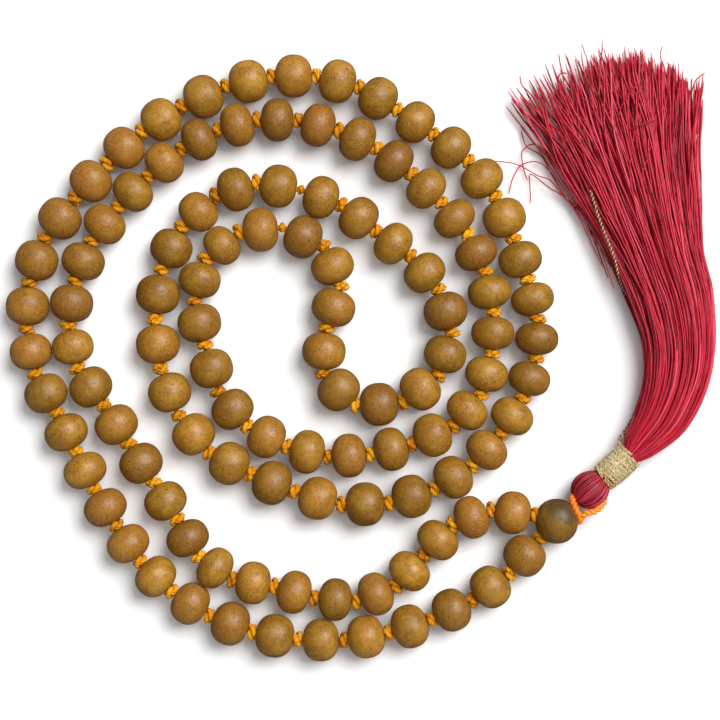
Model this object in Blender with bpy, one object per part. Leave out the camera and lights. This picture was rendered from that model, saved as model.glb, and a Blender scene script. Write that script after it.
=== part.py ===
"""Mala: 108 turned wooden beads, a guru bead and a silk tassel, laid in a double spiral.

Metres, +Z up. The mala lies on the plane z = 0, with the origin under its middle.
One knotted string runs from the guru bead round all 108 beads and back. Bead 1 is the
first after the guru bead. The string is a chain of straight links, one through each bead,
and it bends at the knots. A bead turns about its own link.

Beads 1-16 and 93-108, next to the guru bead, and beads 52-64, at the middle of the spiral,
are loose on the string. The beads between them are made nine or so at a time, each group
as one body with its stretch of string.
"""
import math

import bmesh
import bpy
from mathutils import Matrix, Vector
from mathutils.geometry import interpolate_bezier

MM = 0.001
UP = Vector((0, 0, 1))
GAP = 0.3 * MM

# Wooden beads: eight-sided barrels with a straight hole
BEAD_SIDES = 8
FLAT = math.cos(math.pi / BEAD_SIDES)
BEAD_RADIUS = 3.85 * MM
BEAD_HALF_LENGTH = 3.2 * MM
BEAD_END_RADIUS = 1.95 * MM
BEAD_BAND_HALF_LENGTH = 1.35 * MM
BEAD_HOLE_RADIUS = 0.9 * MM
BEAD_AXIS_HEIGHT = BEAD_RADIUS * FLAT

# Guru bead: larger, with three holes that meet in the middle
GURU_RADIUS = 4.25 * MM
GURU_HOLE_RADIUS = 1.15 * MM
GURU_AXIS_HEIGHT = GURU_RADIUS * FLAT
TASSEL_HOLE_ANGLE = math.radians(0)

# String and its knots
STRING_SIDES = 6
STRING_RADIUS = 0.5 * MM
KNOT_RADIUS = 1.35 * MM
KNOT_HALF_LENGTH = 0.55 * MM
HINGE_KNOT_RADIUS = 0.8 * MM
HINGE_KNOT_HALF_LENGTH = 0.4 * MM
STRING_TURN_IN_GURU = 0.9 * MM
BRANCH_RADIUS = 0.3 * MM

# The order of the beads along the string
BEAD_COUNT = 108
FIRST_LOOSE_RUN = range(1, 17)
INNER_LOOP_RUN = range(52, 65)
LAST_LOOSE_RUN = range(93, 109)
JOINED_RUNS = ((17, 25), (26, 34), (35, 43), (44, 51), (65, 74), (75, 83), (84, 92))

# The string's course in millimetres, from the guru bead and back to it. The first and last
# turns go by every second bead. The inner loop and the way back to the guru bead, where the
# string bends most, go by every bead.
FIRST_TURNS_MM = (
    (35.5, -30.0), (23.5, -42.0), (9.0, -49.0), (-7.0, -51.5), (-23.5, -48.5), (-37.0, -40.0),
    (-46.0, -27.5), (-53.0, -14.0), (-59.5, 0.5), (-58.5, 17.0), (-48.5, 31.5), (-36.0, 42.5),
    (-20.0, 49.5), (-4.0, 49.5), (10.0, 42.0), (22.0, 32.0), (29.0, 17.0), (32.0, 3.0),
    (27.5, -11.0), (17.0, -22.0), (1.0, -27.0), (-16.0, -23.0), (-30.0, -14.5), (-36.5, 2.0),
    (-34.0, 19.5), (-22.5, 30.0), (-7.0, 28.5),
)
INNER_LOOP_MM = (
    (6.0, 20.0), (11.5, 15.0), (15.5, 8.0), (15.5, 0.0), (11.0, -6.0), (3.5, -9.0), (-4.0, -6.5),
    (-7.0, 1.0), (-4.5, 8.5), (-4.5, 16.0), (-10.5, 21.5), (-18.0, 22.5), (-25.0, 20.0),
    (-29.0, 13.5),
)
LAST_TURNS_MM = (
    (-29.0, 6.0), (-23.0, -10.0), (-9.5, -17.5), (5.5, -17.0), (19.5, -10.0), (24.0, 4.0),
    (21.0, 18.5), (12.0, 30.0), (-0.5, 39.0), (-15.0, 42.5), (-29.0, 39.0), (-41.0, 29.5),
    (-50.0, 17.0), (-52.0, 1.5), (-44.0, -12.5), (-35.0, -26.5),
)
BACK_TO_GURU_MM = (
    (-26.5, -39.0), (-19.0, -40.5), (-12.0, -43.0), (-4.5, -44.0), (3.0, -43.5), (9.0, -39.0),
    (14.0, -33.5), (20.0, -29.0), (27.5, -28.5), (35.5, -30.0),
)

# Tassel: head, gold wrap and skirt
TASSEL_AXIS_HEIGHT = 3.4 * MM
HEAD_CENTRE = Vector((41.5 * MM, -24.4 * MM, TASSEL_AXIS_HEIGHT))
TASSEL_DIRECTION = Vector((math.cos(math.radians(41)), math.sin(math.radians(41)), 0))
TASSEL_SIDES = 12
HEAD_RADIUS = 3.4 * MM
NECK_RADIUS = 1.5 * MM
WRAP_START = 2.95 * MM
WRAP_LENGTH = 6.9 * MM
WRAP_RADIUS = 2.3 * MM
WRAP_WALL = 0.5 * MM
SKIRT_START = WRAP_START + WRAP_LENGTH + 0.8 * MM
LOOP_RADIUS = 0.55 * MM
LOOP_SIDES = 8
LOOP_ROUTE_MM = (
    (40.25, -30.0, 3.6), (40.9, -29.6, 3.0), (41.6, -29.2, 2.2), (42.6, -28.8, 1.4),
    (43.8, -28.2, 0.9), (44.9, -27.2, 0.7), (45.6, -26.0, 0.7),
)
# Skirt outline in millimetres: left edge, right edge, underside and top of each station
SKIRT_STATIONS_MM = (
    ((48.3, -13.7), (53.9, -17.5), 0.6, 6.0),
    ((50.0, -9.6), (58.6, -13.6), 0.0, 6.4),
    ((51.4, -4.0), (62.5, -6.3), 0.0, 6.6),
    ((51.2, 2.5), (63.7, 1.5), 0.0, 6.4),
    ((49.0, 10.0), (63.6, 10.5), 0.0, 6.2),
    ((45.6, 18.0), (61.9, 18.5), 0.0, 5.8),
    ((41.3, 26.0), (61.2, 27.5), 0.0, 5.4),
    ((36.8, 34.0), (60.8, 37.0), 0.0, 5.0),
    ((32.2, 41.5), (60.9, 46.5), 0.0, 4.4),
    ((29.0, 50.0), (60.8, 55.1), 0.0, 3.6),
)
# Skirt section as shares of its width and height, from the left edge over the top
SKIRT_SECTION = (
    (0.03, 0.0), (0.0, 0.38), (0.14, 0.8), (0.36, 1.0), (0.64, 1.0), (0.86, 0.8), (1.0, 0.38),
    (0.97, 0.0),
)
GOLD_TAIL_RADIUS = 0.22 * MM
GOLD_TAIL_SAMPLES = 3
GOLD_TAIL_ROUTE_MM = (
    (46.8, -15.6, 3.6), (46.9, -14.6, 2.6), (47.3, -13.3, 1.6), (48.0, -11.8, 0.9),
    (48.9, -10.0, 0.5), (49.6, -8.0, 0.4), (50.1, -6.0, 0.4), (50.5, -4.0, 0.4),
    (50.5, -1.5, 0.4), (50.3, 1.0, 0.4), (50.0, 3.0, 0.6), (49.4, 5.0, 1.5),
    (48.6, 7.0, 3.2), (48.3, 9.0, 5.2), (48.2, 11.0, 6.4), (47.8, 13.5, 6.8),
    (46.9, 16.5, 6.7), (45.8, 19.5, 6.4), (44.6, 22.0, 6.2), (43.4, 24.5, 5.9),
    (42.4, 27.0, 5.6), (41.5, 29.5, 5.3),
)

WOOD_TONES = ((0.36, 0.19, 0.06), (0.40, 0.22, 0.08), (0.31, 0.17, 0.07))


def material(name, colour, roughness, metallic=0.0):
    made = bpy.data.materials.new(name)
    made.use_nodes = True
    shader = made.node_tree.nodes["Principled BSDF"]
    shader.inputs["Base Color"].default_value = (*colour, 1.0)
    shader.inputs["Roughness"].default_value = roughness
    shader.inputs["Metallic"].default_value = metallic
    made.diffuse_color = (*colour, 1.0)
    return made


def aligned(centre, direction):
    """A placing with local X along the direction and local Z as near up as it can be."""
    along = direction.normalized()
    across = UP.cross(along).normalized()
    placing = Matrix((along, across, along.cross(across))).transposed().to_4x4()
    placing.translation = centre
    return placing


def ring(centre, direction, radius, sides, forward=0.0):
    """Corners of a regular ring square to the direction, with a flat side underneath."""
    placing = aligned(centre, direction)
    corners = []
    for index in range(sides):
        angle = 2 * math.pi * (index + 0.5) / sides
        corner = Vector((forward, -radius * math.sin(angle), -radius * math.cos(angle)))
        corners.append(placing @ corner)
    return corners


def loft_mesh(name, rings, colour_material, joined_ends=False):
    """Skins a list of rings. The ends are capped, or joined to each other."""
    shape = bmesh.new()
    loops = []
    for corners in rings:
        loops.append([shape.verts.new(corner) for corner in corners])
    pairs = list(zip(loops, loops[1:]))
    if joined_ends:
        pairs.append((loops[-1], loops[0]))
    else:
        shape.faces.new(loops[0])
        shape.faces.new(reversed(loops[-1]))
    for near, far in pairs:
        for index, corner in enumerate(near):
            after = (index + 1) % len(near)
            shape.faces.new((corner, near[after], far[after], far[index]))
    bmesh.ops.recalc_face_normals(shape, faces=shape.faces)
    mesh = bpy.data.meshes.new(name)
    shape.to_mesh(mesh)
    shape.free()
    mesh.materials.append(colour_material)
    mesh.shade_smooth()
    mesh.set_sharp_from_angle(angle=math.radians(50))
    return mesh


def add_object(name, data, parent=None, placing=Matrix()):
    """Adds an object whose data are in the placing's own axes."""
    made = bpy.data.objects.new(name, data)
    bpy.context.collection.objects.link(made)
    if parent:
        made.parent = parent
        placing = parent.matrix_world.inverted() @ placing
    made.matrix_basis = placing
    return made


def add_world_mesh(name, mesh, origin, parent=None):
    """Adds a mesh made in world coordinates, with its object's origin on a joint's axis."""
    mesh.transform(Matrix.Translation(-origin))
    return add_object(name, mesh, parent, Matrix.Translation(origin))


def add_empty(name, location, parent=None):
    made = add_object(name, None, parent, Matrix.Translation(location))
    bpy.context.view_layer.update()
    return made


def smooth_curve(points, steps):
    """Points on a smooth curve through the given ones, with steps[i] spans after point i."""
    last = len(points) - 1
    headings = []
    for index in range(len(points)):
        before = points[max(index - 1, 0)]
        after = points[min(index + 1, last)]
        headings.append((after - before).normalized())
    curve = []
    for index in range(last):
        start = points[index]
        end = points[index + 1]
        reach = (end - start).length / 3
        curve += interpolate_bezier(
            start, start + headings[index] * reach, end - headings[index + 1] * reach, end,
            steps[index] + 1)[:-1]
    curve.append(points[last])
    return curve


def knot_places():
    """The knots in order: knot k lies between bead k and bead k + 1, and bead 0 is the guru."""
    places = FIRST_TURNS_MM + INNER_LOOP_MM + LAST_TURNS_MM + BACK_TO_GURU_MM
    points = [Vector((x * MM, y * MM, BEAD_AXIS_HEIGHT)) for x, y in places]
    spans = [4] * len(FIRST_TURNS_MM) + [2] * len(INNER_LOOP_MM)
    spans += [4] * len(LAST_TURNS_MM) + [2] * (len(BACK_TO_GURU_MM) - 1)
    course = smooth_curve(points, spans)
    knots = []
    for middle in range(1, len(course), 2):
        halfway = (course[middle - 1] + course[middle + 1]) / 2
        knots.append(2 * course[middle] - halfway)
    return knots


def link_of(bead, knots):
    """The two knots on either side of a bead."""
    return knots[bead - 1], knots[bead]


def bead_outer_rings(centre, direction):
    profile = (
        (-BEAD_HALF_LENGTH, BEAD_END_RADIUS), (-BEAD_BAND_HALF_LENGTH, BEAD_RADIUS),
        (BEAD_BAND_HALF_LENGTH, BEAD_RADIUS), (BEAD_HALF_LENGTH, BEAD_END_RADIUS))
    return [ring(centre, direction, radius, BEAD_SIDES, x) for x, radius in profile]


def knot_size(bead, knots):
    """Radius and half length of the knot after a bead, less where the string bends or is short."""
    if bead in (INNER_LOOP_RUN[0] - 1, INNER_LOOP_RUN[-1]):
        return HINGE_KNOT_RADIUS, HINGE_KNOT_HALF_LENGTH
    near = knots[bead] - knots[(bead - 1) % len(knots)]
    far = knots[(bead + 1) % len(knots)] - knots[bead]
    room = min(near.length, far.length) / 2 - BEAD_HALF_LENGTH - GAP
    half_bend = near.angle(far) / 2
    radius = min(KNOT_RADIUS, room / max(math.sin(half_bend), 0.1))
    return max(radius, STRING_RADIUS * 1.3), min(KNOT_HALF_LENGTH, 1.6 * room)


def knot_rings(here, before, after, radius, half_length, sides, core):
    """A knot as a double cone on the string, square to the bend at its middle."""
    arriving = (here - before).normalized()
    leaving = (after - here).normalized()
    return [
        ring(here - arriving * half_length, arriving, core, sides),
        ring(here, arriving + leaving, radius, sides),
        ring(here + leaving * half_length, leaving, core, sides)]


def make_string(name, course, sizes, colour):
    """A string along the course, with a knot at each point that has a size."""
    rings = [ring(course[0], course[1] - course[0], STRING_RADIUS, STRING_SIDES)]
    for index in range(1, len(course) - 1):
        here = course[index]
        before = course[index - 1]
        after = course[index + 1]
        if sizes[index]:
            radius, half_length = sizes[index]
            rings += knot_rings(here, before, after, radius, half_length, STRING_SIDES,
                                STRING_RADIUS)
        else:
            arriving = (here - before).normalized()
            leaving = (after - here).normalized()
            rings.append(ring(here, arriving + leaving, STRING_RADIUS, STRING_SIDES))
    rings.append(ring(course[-1], course[-1] - course[-2], STRING_RADIUS, STRING_SIDES))
    return loft_mesh(name, rings, colour)


def stop_beyond(knot, toward, distance):
    """Where a string starts or ends, at a distance from a knot along its link."""
    return knot + (toward - knot).normalized() * distance


def make_outer_string(knots, colour):
    """The string through the loose beads on both sides of the guru bead, with its tassel branch."""
    first = LAST_LOOSE_RUN[0] - 1
    last = FIRST_LOOSE_RUN[-1]
    guru = guru_centre()
    into_guru = guru + (knots[-1] - guru).normalized() * STRING_TURN_IN_GURU
    out_of_guru = guru + (knots[0] - guru).normalized() * STRING_TURN_IN_GURU
    start = stop_beyond(knots[first], knots[first + 1], KNOT_HALF_LENGTH + GAP)
    course = [start] + knots[first + 1:] + [into_guru, out_of_guru] + knots[:last + 1]
    sizes = [None]
    sizes += [knot_size(bead, knots) for bead in range(first + 1, BEAD_COUNT + 1)]
    sizes += [None, None]
    sizes += [knot_size(bead, knots) for bead in range(last + 1)]
    radius, half_length = sizes[-1]
    course.append(stop_beyond(knots[last], knots[last + 1], half_length))
    sizes.append(None)
    mesh = make_string("string_outer", course, sizes, colour)
    outer = add_object("string_outer", mesh)

    branch_start = (into_guru + out_of_guru) / 2
    branch_end = guru + tassel_hole_direction() * (GURU_RADIUS - GAP)
    branch_way = branch_end - branch_start
    branch_rings = [
        ring(branch_start, branch_way, BRANCH_RADIUS, STRING_SIDES),
        ring(branch_end, branch_way, BRANCH_RADIUS, STRING_SIDES)]
    branch = add_object("tassel_branch_guide", loft_mesh("tassel_branch", branch_rings, colour))
    join(outer, branch, "UNION")
    return outer


def join(target, other, operation):
    """Adds or cuts the other object, which becomes a hidden guide."""
    boolean = target.modifiers.new("shape", "BOOLEAN")
    boolean.operation = operation
    boolean.solver = "EXACT"
    boolean.object = other
    other.hide_render = True
    other.display_type = "WIRE"


def guru_centre():
    x, y = FIRST_TURNS_MM[0]
    return Vector((x * MM, y * MM, GURU_AXIS_HEIGHT))


def tassel_hole_direction():
    return Vector((math.cos(TASSEL_HOLE_ANGLE), math.sin(TASSEL_HOLE_ANGLE), 0))


def make_guru(knots, colour):
    guru = guru_centre()
    profile = ((-0.93, 0.42), (-0.7, 0.74), (-0.3, 1.0), (0.3, 1.0), (0.7, 0.74), (0.93, 0.42))
    rings = []
    for forward, share in profile:
        rings.append(ring(guru, tassel_hole_direction(), share * GURU_RADIUS, BEAD_SIDES,
                          forward * GURU_RADIUS))
    body = add_object("guru_bead", loft_mesh("guru_bead", rings, colour))
    reach = GURU_RADIUS * 1.3
    inset = STRING_TURN_IN_GURU * 0.8
    ways = (tassel_hole_direction(), (knots[0] - guru).normalized(), (knots[-1] - guru).normalized())
    for number, way in enumerate(ways):
        hole_rings = [
            ring(guru - way * inset, way, GURU_HOLE_RADIUS, BEAD_SIDES),
            ring(guru + way * reach, way, GURU_HOLE_RADIUS, BEAD_SIDES)]
        name = f"guru_hole_{number}"
        join(body, add_object(name, loft_mesh(name, hole_rings, colour)), "DIFFERENCE")
    return body


def bead_mesh(name, colour):
    """A bead about the origin, with its hole along X."""
    centre = Vector()
    along = Vector((1, 0, 0))
    rings = bead_outer_rings(centre, along)
    rings.append(ring(centre, along, BEAD_HOLE_RADIUS, BEAD_SIDES, BEAD_HALF_LENGTH))
    rings.append(ring(centre, along, BEAD_HOLE_RADIUS, BEAD_SIDES, -BEAD_HALF_LENGTH))
    return loft_mesh(name, rings, colour, joined_ends=True)


def make_loose_bead(bead, knots, mesh, parent=None):
    near, far = link_of(bead, knots)
    return add_object(f"bead_{bead:03d}", mesh, parent, aligned((near + far) / 2, far - near))


def make_joined_beads(first, last, knots, colour):
    """Neighbouring beads in one body with their string, which ends just past the last knot."""
    rings = []
    if first - 1 in INNER_LOOP_RUN:
        here = knots[first - 1]
        radius, half_length = knot_size(first - 1, knots)
        rings += knot_rings(here, knots[first - 2], knots[first], radius, half_length,
                            BEAD_SIDES, STRING_RADIUS)[:2]
    for bead in range(first, last + 1):
        near, far = link_of(bead, knots)
        rings += bead_outer_rings((near + far) / 2, far - near)
        radius, half_length = knot_size(bead, knots)
        rings.append(ring(far, (far - near).normalized() + (knots[bead + 1] - far).normalized(),
                          radius, BEAD_SIDES))
    end = stop_beyond(knots[last], knots[last + 1], half_length)
    rings.append(ring(end, end - knots[last], STRING_RADIUS, BEAD_SIDES))
    name = f"joined_beads_{first:03d}_{last:03d}"
    return add_object(name, loft_mesh(name, rings, colour))


def make_inner_loop(knots, meshes, colour):
    """The loose beads at the middle of the spiral, which lift together about their two end knots."""
    first = INNER_LOOP_RUN[0]
    last = INNER_LOOP_RUN[-1]
    hinge = add_empty("inner_loop_hinge", (knots[first - 1] + knots[last]) / 2)
    course = list(knots[first - 1:last + 1])
    course[0] = stop_beyond(course[0], course[1], HINGE_KNOT_HALF_LENGTH + GAP)
    course[-1] = stop_beyond(course[-1], course[-2], HINGE_KNOT_HALF_LENGTH + GAP)
    sizes = [None] + [knot_size(bead, knots) for bead in range(first, last)] + [None]
    mesh = make_string("string_inner_loop", course, sizes, colour)
    add_world_mesh("string_inner_loop", mesh, hinge.location, hinge)
    for bead in INNER_LOOP_RUN:
        make_loose_bead(bead, knots, meshes[bead % len(meshes)], hinge)


def make_tassel(colours):
    """Orange loop, silk head and neck, gold wrap, silk skirt and the wrap's loose gold thread."""
    loop_points = [Vector(point) * MM for point in LOOP_ROUTE_MM]
    swing = loop_points[0]
    course = smooth_curve(loop_points, [2] * (len(loop_points) - 1))
    headings = [course[1] - course[0]]
    for index in range(1, len(course) - 1):
        headings.append(course[index + 1] - course[index - 1])
    headings.append(course[-1] - course[-2])
    rings = [ring(here, way, LOOP_RADIUS, LOOP_SIDES) for here, way in zip(course, headings)]
    add_world_mesh("tassel_loop", loft_mesh("tassel_loop", rings, colours["loop"]), swing)

    lift = add_empty("tassel_lift_axis", HEAD_CENTRE)
    head_profile = (
        (-1.0, 0.25), (-0.8, 0.62), (-0.38, 0.94), (0.05, 1.0), (0.45, 0.9), (0.74, 0.66))
    rings = []
    for forward, share in head_profile:
        rings.append(ring(HEAD_CENTRE, TASSEL_DIRECTION, share * HEAD_RADIUS, TASSEL_SIDES,
                          forward * HEAD_RADIUS))
    neck_end = WRAP_START + WRAP_LENGTH
    for forward in (0.78 * HEAD_RADIUS, neck_end):
        rings.append(ring(HEAD_CENTRE, TASSEL_DIRECTION, NECK_RADIUS, TASSEL_SIDES, forward))
    mesh = loft_mesh("tassel_head", rings, colours["head"])
    add_world_mesh("tassel_head", mesh, HEAD_CENTRE, lift)

    wrap_profile = (
        (0.0, 0.96), (0.08, 1.0), (0.92, 1.0), (1.0, 0.94),
        (1.0, 1 - WRAP_WALL / WRAP_RADIUS), (0.0, 1 - WRAP_WALL / WRAP_RADIUS))
    rings = []
    for forward, share in wrap_profile:
        rings.append(ring(HEAD_CENTRE, TASSEL_DIRECTION, share * WRAP_RADIUS, TASSEL_SIDES,
                          WRAP_START + forward * WRAP_LENGTH))
    mesh = loft_mesh("tassel_wrap", rings, colours["gold"], joined_ends=True)
    add_world_mesh("tassel_wrap", mesh, HEAD_CENTRE, lift)

    flex = HEAD_CENTRE + TASSEL_DIRECTION * (WRAP_START + WRAP_LENGTH)
    bend = add_empty("tassel_bend_axis", flex, lift)
    mesh = loft_mesh("tassel_skirt", skirt_rings(), colours["skirt"])
    add_world_mesh("tassel_skirt", mesh, flex, bend)
    make_gold_tail(flex, bend, colours["gold"])


def skirt_rings():
    neck = HEAD_CENTRE + TASSEL_DIRECTION * SKIRT_START
    left_way = UP.cross(TASSEL_DIRECTION) * NECK_RADIUS
    stations = [(neck + left_way, neck - left_way, neck.z - NECK_RADIUS, neck.z + NECK_RADIUS)]
    for left, right, low, high in SKIRT_STATIONS_MM:
        stations.append((Vector((*left, 0)) * MM, Vector((*right, 0)) * MM, low * MM, high * MM))
    rings = []
    for left, right, low, high in stations:
        corners = []
        for across, upward in SKIRT_SECTION:
            corner = left.lerp(right, across)
            corner.z = low + (high - low) * upward
            corners.append(corner)
        rings.append(corners)
    return rings


def make_gold_tail(origin, parent, colour):
    points = [Vector(point) * MM for point in GOLD_TAIL_ROUTE_MM]
    course = smooth_curve(points, [GOLD_TAIL_SAMPLES] * (len(points) - 1))
    curve = bpy.data.curves.new("gold_thread_tail", "CURVE")
    curve.dimensions = "3D"
    curve.bevel_depth = GOLD_TAIL_RADIUS
    curve.bevel_resolution = 2
    curve.use_fill_caps = True
    spline = curve.splines.new("POLY")
    spline.points.add(len(course) - 1)
    for place, point in zip(spline.points, course):
        place.co = (*(point - origin), 1)
    curve.materials.append(colour)
    return add_object("gold_thread_tail", curve, parent, Matrix.Translation(origin))


def main():
    for old in list(bpy.data.objects):
        bpy.data.objects.remove(old)

    woods = [material(f"wood_{number}", tone, 0.55) for number, tone in enumerate(WOOD_TONES)]
    guru_wood = material("guru_wood", (0.24, 0.14, 0.04), 0.5)
    string_colour = material("string_orange", (0.75, 0.33, 0.02), 0.8)
    colours = {
        "loop": material("loop_orange", (0.85, 0.26, 0.04), 0.8),
        "head": material("silk_dark", (0.33, 0.01, 0.05), 0.5),
        "gold": material("gold_thread", (0.72, 0.5, 0.18), 0.35, 0.8),
        "skirt": material("silk_crimson", (0.48, 0.02, 0.08), 0.5),
    }

    knots = knot_places()
    meshes = [bead_mesh(f"bead_{number}", wood) for number, wood in enumerate(woods)]
    make_guru(knots, guru_wood)
    make_outer_string(knots, string_colour)
    for bead in (*FIRST_LOOSE_RUN, *LAST_LOOSE_RUN):
        make_loose_bead(bead, knots, meshes[bead % len(meshes)])
    for number, (first, last) in enumerate(JOINED_RUNS):
        make_joined_beads(first, last, knots, woods[number % len(woods)])
    make_inner_loop(knots, meshes, string_colour)
    make_tassel(colours)


main()
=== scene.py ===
"""The looks of the mala: turned wooden beads, knotted cotton string and a silk tassel.

Metres, +Z up, in the frame of the CAD model. Names that end in _MM hold millimetres.
The helpers come first. The making starts with the camera and the gold thread's free end, and
goes on with the floor and the lights, the beads, the string with its knots, and the tassel.
"""

import math
import random

import bmesh
import bpy
import numpy as np
from mathutils import Matrix, Vector
from mathutils.geometry import interpolate_bezier


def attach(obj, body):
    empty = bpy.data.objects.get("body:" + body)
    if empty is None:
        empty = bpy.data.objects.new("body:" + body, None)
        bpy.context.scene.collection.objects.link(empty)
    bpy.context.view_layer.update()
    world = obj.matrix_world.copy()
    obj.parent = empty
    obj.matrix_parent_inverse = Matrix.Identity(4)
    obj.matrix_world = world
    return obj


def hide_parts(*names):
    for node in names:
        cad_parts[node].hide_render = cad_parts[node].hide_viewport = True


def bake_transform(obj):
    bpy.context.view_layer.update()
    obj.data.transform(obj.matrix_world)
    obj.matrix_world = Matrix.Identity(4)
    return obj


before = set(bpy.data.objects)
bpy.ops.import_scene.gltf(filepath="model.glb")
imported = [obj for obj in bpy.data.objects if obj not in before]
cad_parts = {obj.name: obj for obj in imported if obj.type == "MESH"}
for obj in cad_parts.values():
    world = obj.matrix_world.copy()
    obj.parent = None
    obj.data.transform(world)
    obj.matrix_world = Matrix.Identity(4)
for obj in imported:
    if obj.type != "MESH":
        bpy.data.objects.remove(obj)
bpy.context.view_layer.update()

MM = 0.001
UP = Vector((0, 0, 1))
chance = random.Random(108)


# ---------------------------------------------------------------- node materials


def colour(red, green, blue):
    """A screen colour, 0 to 255, as the linear colour that a shader takes."""
    shares = [channel / 255 for channel in (red, green, blue)]
    linear = [s / 12.92 if s <= 0.04045 else ((s + 0.055) / 1.055) ** 2.4 for s in shares]
    return (*linear, 1.0)


class Nodes:
    """A new node material, and short ways to add nodes to it."""

    def __init__(self, name):
        self.material = bpy.data.materials.new(name)
        self.material.use_nodes = True
        self.tree = self.material.node_tree
        self.shader = self.tree.nodes["Principled BSDF"]

    def put(self, socket, value):
        """Links value to the socket if it is another node's output, or sets it as a constant."""
        if isinstance(value, bpy.types.NodeSocket):
            self.tree.links.new(value, socket)
        else:
            socket.default_value = value

    def add(self, kind, inputs, **settings):
        """A new node. inputs fills its sockets and settings its own properties."""
        node = self.tree.nodes.new(kind)
        for name, value in settings.items():
            setattr(node, name, value)
        for name, value in inputs.items():
            self.put(node.inputs[name], value)
        return node

    def attribute(self, name):
        return self.add("ShaderNodeAttribute", {}, attribute_name=name)

    def parts(self, vector):
        return self.add("ShaderNodeSeparateXYZ", {"Vector": vector}).outputs

    def vector(self, operation, first, second=(0, 0, 0), scale=1.0):
        inputs = {0: first, "Scale": scale} if operation == "SCALE" else {0: first, 1: second}
        return self.add("ShaderNodeVectorMath", inputs, operation=operation).outputs[0]

    def math(self, operation, first, second=0.0):
        return self.add("ShaderNodeMath", {0: first, 1: second}, operation=operation).outputs[0]

    def noise(self, vector, scale, detail=3.0, roughness=0.55, distortion=0.0):
        inputs = {"Vector": vector, "Scale": scale, "Detail": detail}
        inputs |= {"Roughness": roughness, "Distortion": distortion}
        return self.add("ShaderNodeTexNoise", inputs).outputs["Fac"]

    def span(self, value, low, high, new_low=0.0, new_high=1.0):
        """value between low and high, moved smoothly to between new_low and new_high."""
        inputs = {0: value, 1: low, 2: high, 3: new_low, 4: new_high}
        node = self.add("ShaderNodeMapRange", inputs, interpolation_type="SMOOTHSTEP")
        return node.outputs[0]

    def mix(self, share, first, second):
        """The colour first, with a share of the colour second over it."""
        inputs = {0: share, 6: first, 7: second}
        return self.add("ShaderNodeMix", inputs, data_type="RGBA").outputs[2]

    def bump(self, height, distance):
        inputs = {"Height": height, "Distance": distance}
        return self.add("ShaderNodeBump", inputs).outputs[0]

    def surface(self, base, roughness, normal, **constants):
        """Fills the shader's sockets. An underscore in a constant's name stands for a space."""
        self.put(self.shader.inputs["Base Color"], base)
        self.put(self.shader.inputs["Roughness"], roughness)
        self.put(self.shader.inputs["Normal"], normal)
        for name, value in constants.items():
            self.shader.inputs[name.replace("_", " ")].default_value = value
        return self.material


def grain_place(n, local_mm):
    """Where a point is in the wood that its bead was turned from. Fibres run along X."""
    turned = n.add(
        "ShaderNodeVectorRotate",
        {"Vector": local_mm, "Rotation": n.attribute("grain_turn").outputs["Vector"]},
        rotation_type="EULER_XYZ",
    ).outputs[0]
    return n.vector("ADD", turned, n.attribute("grain_shift").outputs["Vector"])


def stained_round_hole(n, base, local_mm, mottle):
    """The colour base, with the dust and dye that gather round the hole."""
    axis = n.parts(local_mm)
    squares = n.math("ADD", n.math("POWER", axis[1], 2.0), n.math("POWER", axis[2], 2.0))
    ragged = n.math("ADD", n.math("SQRT", squares), n.span(mottle, 0.2, 0.8, -0.35, 0.35))
    return n.mix(n.span(ragged, 1.05, 1.9, 0.75, 0.0), base, colour(84, 46, 12))


def stained_on_side(n, base, local_mm, mottle, side):
    """The colour base, with a dark patch where the bead faces the direction side."""
    shares = n.parts(n.vector("MULTIPLY", local_mm, side))
    facing = n.math("ADD", n.math("ADD", shares[0], shares[1]), shares[2])
    ragged = n.math("ADD", facing, n.span(mottle, 0.2, 0.8, -0.5, 0.5))
    return n.mix(n.span(ragged, 2.3, 3.2, 0.0, 0.62), base, colour(58, 48, 36))


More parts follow.
